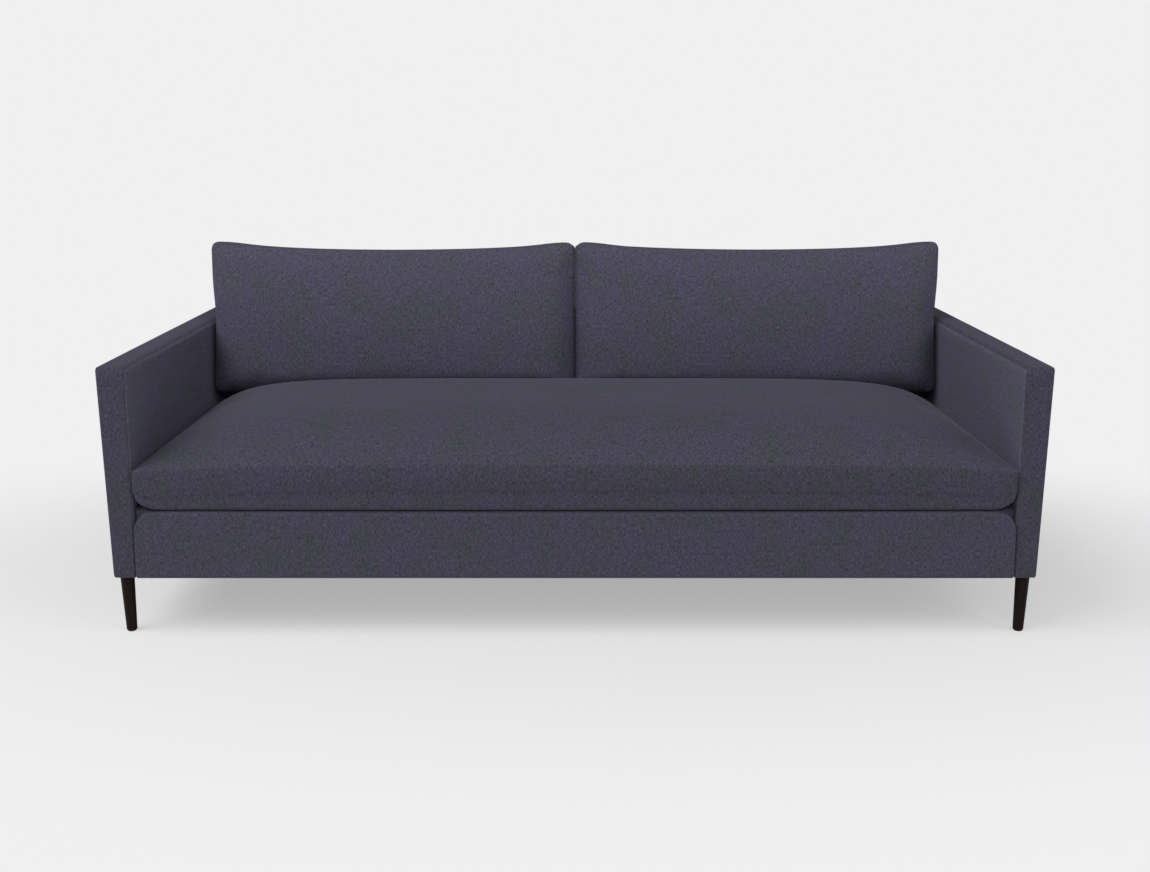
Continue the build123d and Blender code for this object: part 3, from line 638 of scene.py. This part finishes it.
class SOFA_OT_arms(bpy.types.Operator):
    """Builds the two padded arms, each with a front panel sewn in"""

    bl_idname = "sofa.arms"
    bl_label = "Arms"

    def execute(self, context):
        sizes = context.scene.sofa_upholstery
        thickness = arm_high.x - arm_low.x
        for name, way in SIDES:

            def shape(q, way=way):
                """Rounds the top towards the seat as in round_corners, less where the back begins, then
                carries depth into the arm across its thickness, which grows upwards in a straight line."""
                fade = ease((q[..., 1] - inside_back(arm_high.z)) / INNER_FADE + 1)
                radius = sizes.inner_radius * (1 - INNER_FADE_SHARE * fade)
                a = np.clip((q[..., 0] - thickness) / radius + 1, 0, 1)
                b = np.clip((q[..., 2] - arm_high.z) / radius + 1, 0, 1)
                depth = q[..., 0] - radius * a * (1 - np.sqrt(1 - b**2 / 2))
                z = q[..., 2] - radius * b * (1 - np.sqrt(1 - a**2 / 2))
                share = (arm_high.x - room_between_arms(z)) / thickness
                return np.stack([way * (arm_high.x - depth * share), q[..., 1], z], axis=-1)

            panels = slab_panels(
                (0.0, arm_low.y, arm_low.z),
                (thickness, arm_high.y, arm_high.z),
                np.array((sizes.panel_radius, FRONT_ROUNDING * sizes.panel_radius, sizes.edge_radius)),
                {(0, 0): sizes.arm_puff, (0, 1): sizes.arm_puff, (2, 1): TOP_PUFF * sizes.arm_puff},
                shape,
                seam=(1, 0, sizes.seam_depth, sizes.seam_width),
            )
            # Painted light and shade for each face: a lighter inner face, and a darker front and top.
            painted_brightness = [1.0, sizes.inner_painted_light, sizes.front_painted_shading, 1.0, 1.0, sizes.top_painted_shade]
            piece = panel_mesh(f"{name}_arm", panels, shared_fabric(), painted_brightness)
            smooth_piece(piece)
            place(piece, "frame", "upholstery", f"{name}_arm_cover", f"{name}_arm_pad")
        return {"FINISHED"}


class SOFA_OT_base(bpy.types.Operator):
    """Builds the front border, the deck and the dust cover under the base"""

    bl_idname = "sofa.base"
    bl_label = "Base"

    def execute(self, context):
        sizes = context.scene.sofa_upholstery
        half_height = (border_high.z - border_low.z) / 2
        middle = (border_high.z + border_low.z) / 2

        def border_shape(q):
            """Rounds the two top corners, apart from the rear third that covers the rail behind, and leans
            the ends with the arms' inner faces."""
            corner = (sizes.border_corner_width, sizes.border_corner_height)
            x, z = round_corners(q[..., 0], q[..., 2] - middle, border_high.x, half_height, *corner, True)
            share = (q[..., 1] - border_low.y) / (border_high.y - border_low.y)
            rear = ease((share - BORDER_CORNER_DEPTH) / BORDER_CORNER_FADE)
            x = x + rear * (q[..., 0] - x)
            z = z + middle + rear * (q[..., 2] - z - middle)
            room = room_between_arms(z) - sizes.border_gap
            return np.stack([x * room / border_high.x, q[..., 1], z], axis=-1)

        panels = slab_panels(
            (-border_high.x, border_low.y, border_low.z),
            border_high,
            np.array(BORDER_ROUNDING) * sizes.border_radius,
            {(1, 0): FLAT_PUFF},
            border_shape,
        )
        border = panel_mesh("front_border", panels, shared_fabric())
        smooth_piece(border)
        place(border, "frame", "upholstery", "front_border_cover", "front_border_pad")

        low = (deck_low.x, deck_low.y, pad_low.z)
        panels = slab_panels(low, deck_high, DECK_RADIUS, {(2, 1): -sizes.deck_slack}, step=WIDE_STEP)
        deck = panel_mesh("deck", panels, shared_fabric())
        place(deck, "frame", "upholstery", "deck_cover", "deck_pad")

        def dust_shape(q):
            """Hangs the cloth between its edges by dust_sag * (1 - x^4) * (1 - y^4)."""
            middle_y = (dust_low.y + dust_high.y) / 2
            x = q[..., 0] / dust_high.x
            y = (q[..., 1] - middle_y) / (dust_high.y - middle_y)
            q = q.copy()
            q[..., 2] -= sizes.dust_sag * (1 - x**4) * (1 - y**4)
            return q

        wide = {"rows": SHEET_ROWS, "step": WIDE_STEP}
        panels = slab_panels(dust_low, dust_high, DUST_RADIUS, {}, dust_shape, **wide)
        cloth = plain_finish("dust_cloth", greys(0.012, 0.022), roughness=0.95, scale=320.0)
        dust = panel_mesh("dust_cloth", panels, cloth)
        place(dust, "frame", "dust_cloth", "dust_cover")
        return {"FINISHED"}


class SOFA_OT_back(bpy.types.Operator):
    """Builds the padded inside back and the panel stretched over the outside back"""

    bl_idname = "sofa.back"
    bl_label = "Back"

    def execute(self, context):
        sizes = context.scene.sofa_upholstery
        thickness = back_high.y - inside_back(back_high.z)
        end_x = room_between_arms(back_high.z)

        def back_shape(q):
            """Leans the inside face, and runs the ends just into the arms' leaning inner faces."""
            share = (back_high.y - inside_back(q[..., 2])) / thickness
            x = q[..., 0] * (room_between_arms(q[..., 2]) + BACK_TUCK) / end_x
            return np.stack([x, back_high.y - (back_high.y - q[..., 1]) * share, q[..., 2]], axis=-1)

        panels = slab_panels(
            (-end_x, back_high.y - thickness, back_low.z),
            (end_x, back_high.y, back_high.z),
            np.array(BACK_ROUNDING) * sizes.edge_radius,
            {(2, 1): TOP_PUFF * sizes.arm_puff},
            back_shape,
        )
        back = panel_mesh("inside_back", panels, shared_fabric())
        smooth_piece(back)
        place(back, "frame", "upholstery", "inside_back_cover", "back_pad")

        puff = {(1, 1): FLAT_PUFF}
        panels = slab_panels(outside_low, outside_high, OUTSIDE_RADIUS, puff, rows=SHEET_ROWS)
        panel = panel_mesh("outside_back", panels, shared_fabric())
        place(panel, "frame", "upholstery", "outside_back_panel")
        return {"FINISHED"}


class SOFA_OT_seat_cushion(bpy.types.Operator):
    """Builds the bench seat cushion: boxed, crowned, filled by simulation and sewn"""

    bl_idname = "sofa.seat_cushion"
    bl_label = "Seat cushion"

    def execute(self, context):
        sizes = context.scene.sofa_seat
        half_w, half_d = seat_high.x, seat_half_depth(sizes)
        rest = seat_low.z + DECK_CLEARANCE

        def face(x, y, level):
            """The underside at level 0 and the top at level 1. With s the distance from the front or rear
            seam over belly_reach, the underside drops from its seam to belly_press below the deck by
            (1 - (1 - s)^3)^(1/3), which grows in from the sides as a quarter circle over belly_ends, and
            rolls out at the front by belly_roll * sin(pi s). The bottom seam turns up to the corners by
            corner_lift as a square."""
            u, v = x / half_w, y / half_d
            s = np.clip((half_d - np.abs(y)) / sizes.belly_reach, 0, 1)
            room = np.clip((half_w - np.abs(x)) / sizes.belly_ends, 0, 1)
            ends = np.sqrt(1 - (1 - room) ** 2)
            roll = (1 - level) * sizes.belly_roll * np.sin(np.pi * s) * ends * (y < 0)
            plan_x, plan_y = round_corners(x, y, half_w, half_d, sizes.corner, sizes.corner)
            plan_x = plan_x - sizes.side_draw * np.sign(u) * np.abs(u) ** 3 * (1 - v**2)
            plan_y = plan_y - sizes.bow * (1 - u**4) * ((1 - v) / 2) ** 3 - roll
            plan_y = plan_y + seat_middle(sizes)
            top = seat_top_height(x, y + seat_middle(sizes), sizes)
            seam = sizes.seam_bottom + sizes.seam_rise * (1 - u**4) + sizes.corner_lift * (1 - room) ** 2
            bottom = seam - (seam - rest + sizes.belly_press) * np.cbrt(1 - (1 - s) ** 3) * ends
            return np.stack([plan_x, plan_y, bottom * (1 - level) + top * level], axis=-1)

        height = sizes.seam_top - sizes.seam_bottom
        panels = cushion_panels(face, half_w, half_d, height, SEAT_STEP, [sizes.bulge] * 4)
        # Painted shade on the boxing, darker than the top.
        painted_brightness = [sizes.boxing_painted_shade, 1.0] + [sizes.boxing_painted_shade] * 4
        seat = panel_mesh("seat_cushion", panels, shared_fabric(), painted_brightness)
        fill_cushion(seat, sizes.cap, ALONG_X, ALONG_Y)
        sew_seams(seat, sizes.seam_depth)
        points = mesh_points(seat.data)
        under_backs = points[:, 1] > inside_back(deck_high.z) - BACKS_DEPTH
        limit = seat_top_height(points[:, 0], points[:, 1], sizes) + BACKS_FILL
        points[:, 2] = np.where(under_backs, np.minimum(points[:, 2], limit), points[:, 2])
        points[:, 2] = np.maximum(points[:, 2], rest)
        points[:, 1] = np.minimum(points[:, 1], seat_zip_low.y)
        fullest = context.scene.sofa_upholstery.arm_puff + ARM_CLEARANCE
        arm_face = room_between_arms(points[:, 2]) - fullest
        points[:, 0] = np.clip(points[:, 0], -arm_face, arm_face)
        set_points(seat.data, points)
        smooth_piece(seat)
        nodes = ("seat_cushion_cover", "seat_cushion_wrap", "seat_cushion_core")
        place(seat, "seat_cushion", "upholstery", *nodes)
        return {"FINISHED"}


class SOFA_OT_back_cushions(bpy.types.Operator):
    """Builds the two back cushions: boxed, drawn in along their tops, filled by simulation and sewn"""

    bl_idname = "sofa.back_cushions"
    bl_label = "Back cushions"

    def execute(self, context):
        sizes, seat_sizes = context.scene.sofa_back, context.scene.sofa_seat
        outer = room_between_arms(arm_high.z) - sizes.side_gap
        half_w, half_h = (outer - sizes.middle_gap / 2) / 2, sizes.height / 2
        upward = np.array((0.0, math.sin(back_lean), math.cos(back_lean)))
        forward = np.array((0.0, -math.cos(back_lean), math.sin(back_lean)))
        foot = np.array((0.0, inside_back(deck_high.z), deck_high.z))
        zip_rise = (np.array((0.0, back_zip_high.y, back_zip_low.z)) - foot) @ upward
        zip_reach = (np.array((0.0, back_zip_low.y, back_zip_high.z)) - foot) @ forward

        def crown(x, v):
            """The front's rise over its seam. Across, it grows from a side as 1 - (1 - room / reach)^3.
            Upwards, it is greatest where the filling has settled, and falls off from there as a square
            towards the top and as an eighth power towards the bottom."""
            across = 1 - (1 - np.clip((half_w - np.abs(x)) / sizes.crown_reach, 0, 1)) ** 3
            above = 1 - (np.maximum(v - SETTLED, 0) / (1 - SETTLED)) ** 2
            below = 1 - (np.maximum(SETTLED - v, 0) / (1 + SETTLED)) ** 8
            return sizes.crown * across * above * below

        for name, way in SIDES:
            middle = foot + way * (outer - half_w) * ALONG_X + upward * (sizes.lift + half_h)

            def face(x, y, level, middle=middle, way=way):
                """The flat rear at level 0 and the crowned front at level 1, on one outline. Its outer side
                is drawn in by side_draw * (1 - v^2), a quarter of that above the arm, and its inner side is
                pressed straight by the other cushion. Its top dips between the corners by a square."""
                u, v = x / half_w, y / half_h
                side, up = round_corners(x, y, half_w, half_h, sizes.corner, sizes.corner)
                outward = np.clip(way * u, 0, 1)
                draw = sizes.side_draw * (1 - v**2) * (1 - UPPER_DRAW_LOSS * ease(v / UPPER_DRAW_FADE))
                side = side - way * draw * outward**3
                dip = sizes.top_draw * (1 - u**2) - sizes.corner_rise * outward**4
                up = up - dip * ((1 + v) / 2) ** 3
                out = BACK_CLEARANCE + level * (sizes.boxing + crown(x, v))
                spread = middle + side[..., None] * ALONG_X
                return spread + up[..., None] * upward + out[..., None] * forward

            bulges = [sizes.bulge] * 2 + [sizes.press, sizes.arm_press][::way]
            panels = cushion_panels(face, half_w, half_h, sizes.boxing, BACK_STEP, bulges)
            # Painted light on the front panel, lighter than the rear and boxing.
            painted_brightness = [1.0, sizes.front_painted_shading] + [1.0] * 4
            cushion = panel_mesh(f"{name}_back_cushion", panels, shared_fabric(), painted_brightness)
            fill_cushion(cushion, sizes.cap, ALONG_X, upward)
            sew_seams(cushion, sizes.seam_depth)
            points = mesh_points(cushion.data)
            gap, rise = (points - foot) @ forward, (points - foot) @ upward
            points = points + np.maximum(BACK_CLEARANCE - gap, 0.0)[:, None] * forward
            zip_floor = zip_rise + ZIP_PROUD - ZIP_FADE * ease((gap - zip_reach) / ZIP_FADE)
            points = points + np.maximum(zip_floor - rise, 0.0)[:, None] * upward
            limit = outer + sizes.side_gap - CUSHION_ARM_CLEARANCE
            points[:, 0] = way * np.clip(way * points[:, 0], MIDDLE_CLEARANCE, limit)
            seat_top = seat_top_height(points[:, 0], points[:, 1], seat_sizes) + SEAT_CLEARANCE
            points[:, 2] = np.maximum(points[:, 2], np.where(points[:, 1] < seat_high.y, seat_top, 0.0))
            set_points(cushion.data, points)
            smooth_piece(cushion)
            body = f"{name}_back_cushion"
            place(cushion, body, "upholstery", f"{body}_cover", f"{body}_fill")
        return {"FINISHED"}


class SOFA_OT_finishes(bpy.types.Operator):
    """Gives the legs, the frame and the fittings that come from the frame their finishes"""

    bl_idname = "sofa.finishes"
    bl_label = "Legs and frame"

    def execute(self, context):
        colours = context.scene.sofa_finish
        legs, timber = (colours.leg_dark, colours.leg_light), (colours.timber_dark, colours.timber_light)
        board = ((0.15, 0.09, 0.05), (0.25, 0.16, 0.09))
        tape = ((0.03, 0.029, 0.045), (0.07, 0.066, 0.1))
        webbing_weave = (40.0, 700.0, 700.0)
        by_slot = {
            "leg_wood": wood_finish("stained_wood", legs, ring_scale=70.0, roughness=0.5, gloss=0.12),
            "frame_timber": wood_finish("sawn_timber", timber, ring_scale=40.0, roughness=0.8, gloss=0.5),
            "hardboard": plain_finish("hardboard", board, roughness=0.7, scale=90.0),
            "felt": plain_finish("felt", greys(0.2, 0.36), roughness=0.95, scale=150.0),
            "webbing": plain_finish("webbing", greys(0.02, 0.06), roughness=0.85, stretch=webbing_weave),
            "zip_tape": plain_finish("zip_tape", tape, roughness=0.8, stretch=(900.0, 60.0, 60.0)),
            "zip_metal": plain_finish("zip_metal", greys(0.05, 0.08), 0.35, scale=200.0, metallic=0.6),
            "steel": plain_finish("zinc_steel", greys(0.5, 0.66), 0.35, scale=120.0, metallic=1.0),
            "glide_plastic": plain_finish("glide_plastic", greys(0.015, 0.03), 0.55, scale=300.0),
        }
        slots = {part["node"]: part["material_slot"] for part in frame["record"]["subparts"]}
        for node, part in frame["nodes"].items():
            finish = by_slot.get(slots[node])
            if finish:
                part.data.materials.clear()
                part.data.materials.append(finish)
        return {"FINISHED"}


class SOFA_OT_studio(bpy.types.Operator):
    """Sets up the pale floor, the soft light and the camera"""

    bl_idname = "sofa.studio"
    bl_label = "Studio"

    def execute(self, context):
        scene, studio = context.scene, context.scene.sofa_studio
        scene.view_settings.view_transform = "Standard"
        self.lay_floor(studio)
        self.light_world(scene, studio)
        self.hang_lights(scene, studio)
        lens = bpy.data.cameras.new("camera")
        lens.sensor_fit = "HORIZONTAL"
        lens.sensor_width = 36.0
        lens.lens = studio.camera_lens
        camera = bpy.data.objects.new("camera", lens)
        camera.location = (0.0, arm_low.y - studio.camera_back, studio.camera_height)
        camera.rotation_euler = (math.pi / 2 - studio.camera_tilt, 0.0, 0.0)
        scene.collection.objects.link(camera)
        scene.camera = camera
        return {"FINISHED"}

    @staticmethod
    def hang_lights(scene, studio):
        """Large soft discs on a sphere round the sofa's middle, each at its own azimuth from the front,
        towards the right, and its own elevation, in degrees."""
        middle = Vector((0.0, 0.0, 0.5))
        for name, azimuth, elevation, power in (
            ("key", -60.0, 50.0, studio.key_power),
            ("fill", 60.0, 35.0, studio.fill_power),
            ("front", 0.0, 30.0, studio.front_power),
        ):
            turn, rise = math.radians(azimuth), math.radians(elevation)
            level = math.cos(rise)
            away = Vector((level * math.sin(turn), -level * math.cos(turn), math.sin(rise)))
            lamp = bpy.data.lights.new(name, "AREA")
            lamp.shape = "DISK"
            lamp.size = studio.light_size
            lamp.energy = power
            holder = bpy.data.objects.new(name, lamp)
            holder.location = middle + studio.light_distance * away
            holder.rotation_euler = away.to_track_quat("Z", "Y").to_euler()
            scene.collection.objects.link(holder)

    @staticmethod
    def lay_floor(studio):
        """A flat disc in polar rows. Under the sofa it takes light and shadow, and further out the camera
        sees it fade into the backdrop's colour, between two ellipses drawn out along the sofa."""
        floor_radius, rings, spokes = 30.0, 31, 97
        ellipse, fade_start, fade_end, least_fade = (0.55, 1.0, 1.0), 0.5, 1.5, 0.47
        radius, turn = np.meshgrid(
            np.linspace(0.0, floor_radius, rings), np.linspace(0.0, 2 * np.pi, spokes), indexing="ij"
        )
        points = np.stack([radius * np.cos(turn), radius * np.sin(turn), np.zeros_like(turn)], axis=-1)
        finish = Finish("pale_floor")
        finish.set(Base_Color=(*studio.floor, 1.0), Roughness=0.9, Specular_IOR_Level=0.1)
        centre = finish.node("ShaderNodeVectorMath", operation="LENGTH")
        place_on_floor = finish.node("ShaderNodeTexCoord").outputs["Object"]
        finish.join(finish.stretched(place_on_floor, ellipse), centre.inputs[0])
        fade = finish.node("ShaderNodeMapRange", interpolation_type="SMOOTHSTEP")
        fade.inputs["From Min"].default_value = fade_start
        fade.inputs["From Max"].default_value = fade_end
        fade.inputs["To Min"].default_value = least_fade
        finish.join(centre.outputs["Value"], fade.inputs["Value"])
        seen = finish.node("ShaderNodeMath", operation="MULTIPLY")
        finish.join(fade.outputs["Result"], seen.inputs[0])
        finish.join(finish.node("ShaderNodeLightPath").outputs["Is Camera Ray"], seen.inputs[1])
        glow = finish.node("ShaderNodeEmission")
        glow.inputs["Color"].default_value = (*studio.backdrop, 1.0)
        blend = finish.node("ShaderNodeMixShader")
        finish.join(seen.outputs["Value"], blend.inputs["Fac"])
        finish.join(finish.shader.outputs["BSDF"], blend.inputs[1])
        finish.join(glow.outputs["Emission"], blend.inputs[2])
        finish.join(blend.outputs["Shader"], finish.tree.nodes["Material Output"].inputs["Surface"])
        flat = np.zeros(points.shape[:2])
        floor = panel_mesh("floor", [(points, points[..., :2], flat)], finish.material)

    @staticmethod
    def light_world(scene, studio):
        """An even pale sky that lights the sofa, and the backdrop's colour where the camera looks at it."""
        scene.world = bpy.data.worlds.new("studio")
        scene.world.use_nodes = True
        tree = scene.world.node_tree
        tree.nodes.clear()
        path = tree.nodes.new("ShaderNodeLightPath")
        sky = tree.nodes.new("ShaderNodeBackground")
        sky.inputs["Color"].default_value = (0.97, 0.985, 1.0, 1.0)
        sky.inputs["Strength"].default_value = studio.sky
        seen = tree.nodes.new("ShaderNodeBackground")
        seen.inputs["Color"].default_value = (*studio.backdrop, 1.0)
        mix = tree.nodes.new("ShaderNodeMixShader")
        out = tree.nodes.new("ShaderNodeOutputWorld")
        tree.links.new(path.outputs["Is Camera Ray"], mix.inputs["Fac"])
        tree.links.new(sky.outputs["Background"], mix.inputs[1])
        tree.links.new(seen.outputs["Background"], mix.inputs[2])
        tree.links.new(mix.outputs["Shader"], out.inputs["Surface"])


STEPS = (
    SOFA_OT_arms,
    SOFA_OT_base,
    SOFA_OT_back,
    SOFA_OT_seat_cushion,
    SOFA_OT_back_cushions,
    SOFA_OT_finishes,
    SOFA_OT_studio,
)


class SOFA_PT_dressing(bpy.types.Panel):
    """Lists the steps and sizes in the 3D view's sidebar"""

    bl_idname = "SOFA_PT_dressing"
    bl_label = "Sofa"
    bl_space_type = "VIEW_3D"
    bl_region_type = "UI"
    bl_category = "Sofa"

    def draw(self, context):
        for step in STEPS:
            self.layout.operator(step.bl_idname)
        for group in GROUPS:
            settings = getattr(context.scene, group)
            for key in settings.__annotations__:
                self.layout.prop(settings, key)


GROUPS = {
    "sofa_upholstery": SofaUpholstery,
    "sofa_seat": SofaSeatCushion,
    "sofa_back": SofaBackCushion,
    "sofa_finish": SofaFinish,
    "sofa_studio": SofaStudio,
}


def register():
    """Registers the settings, the steps and the panel."""
    for group, kind in GROUPS.items():
        bpy.utils.register_class(kind)
        setattr(bpy.types.Scene, group, PointerProperty(type=kind))
    for step in STEPS:
        bpy.utils.register_class(step)
    bpy.utils.register_class(SOFA_PT_dressing)


def unregister():
    """Takes everything out again, in reverse."""
    bpy.utils.unregister_class(SOFA_PT_dressing)
    for step in reversed(STEPS):
        bpy.utils.unregister_class(step)
    for group, kind in reversed(GROUPS.items()):
        delattr(bpy.types.Scene, group)
        bpy.utils.unregister_class(kind)


def main():
    """Builds every piece in order."""
    register()
    for step in STEPS:
        family, action = step.bl_idname.split(".")
        getattr(getattr(bpy.ops, family), action)()


if __name__ == "__main__":
    main()
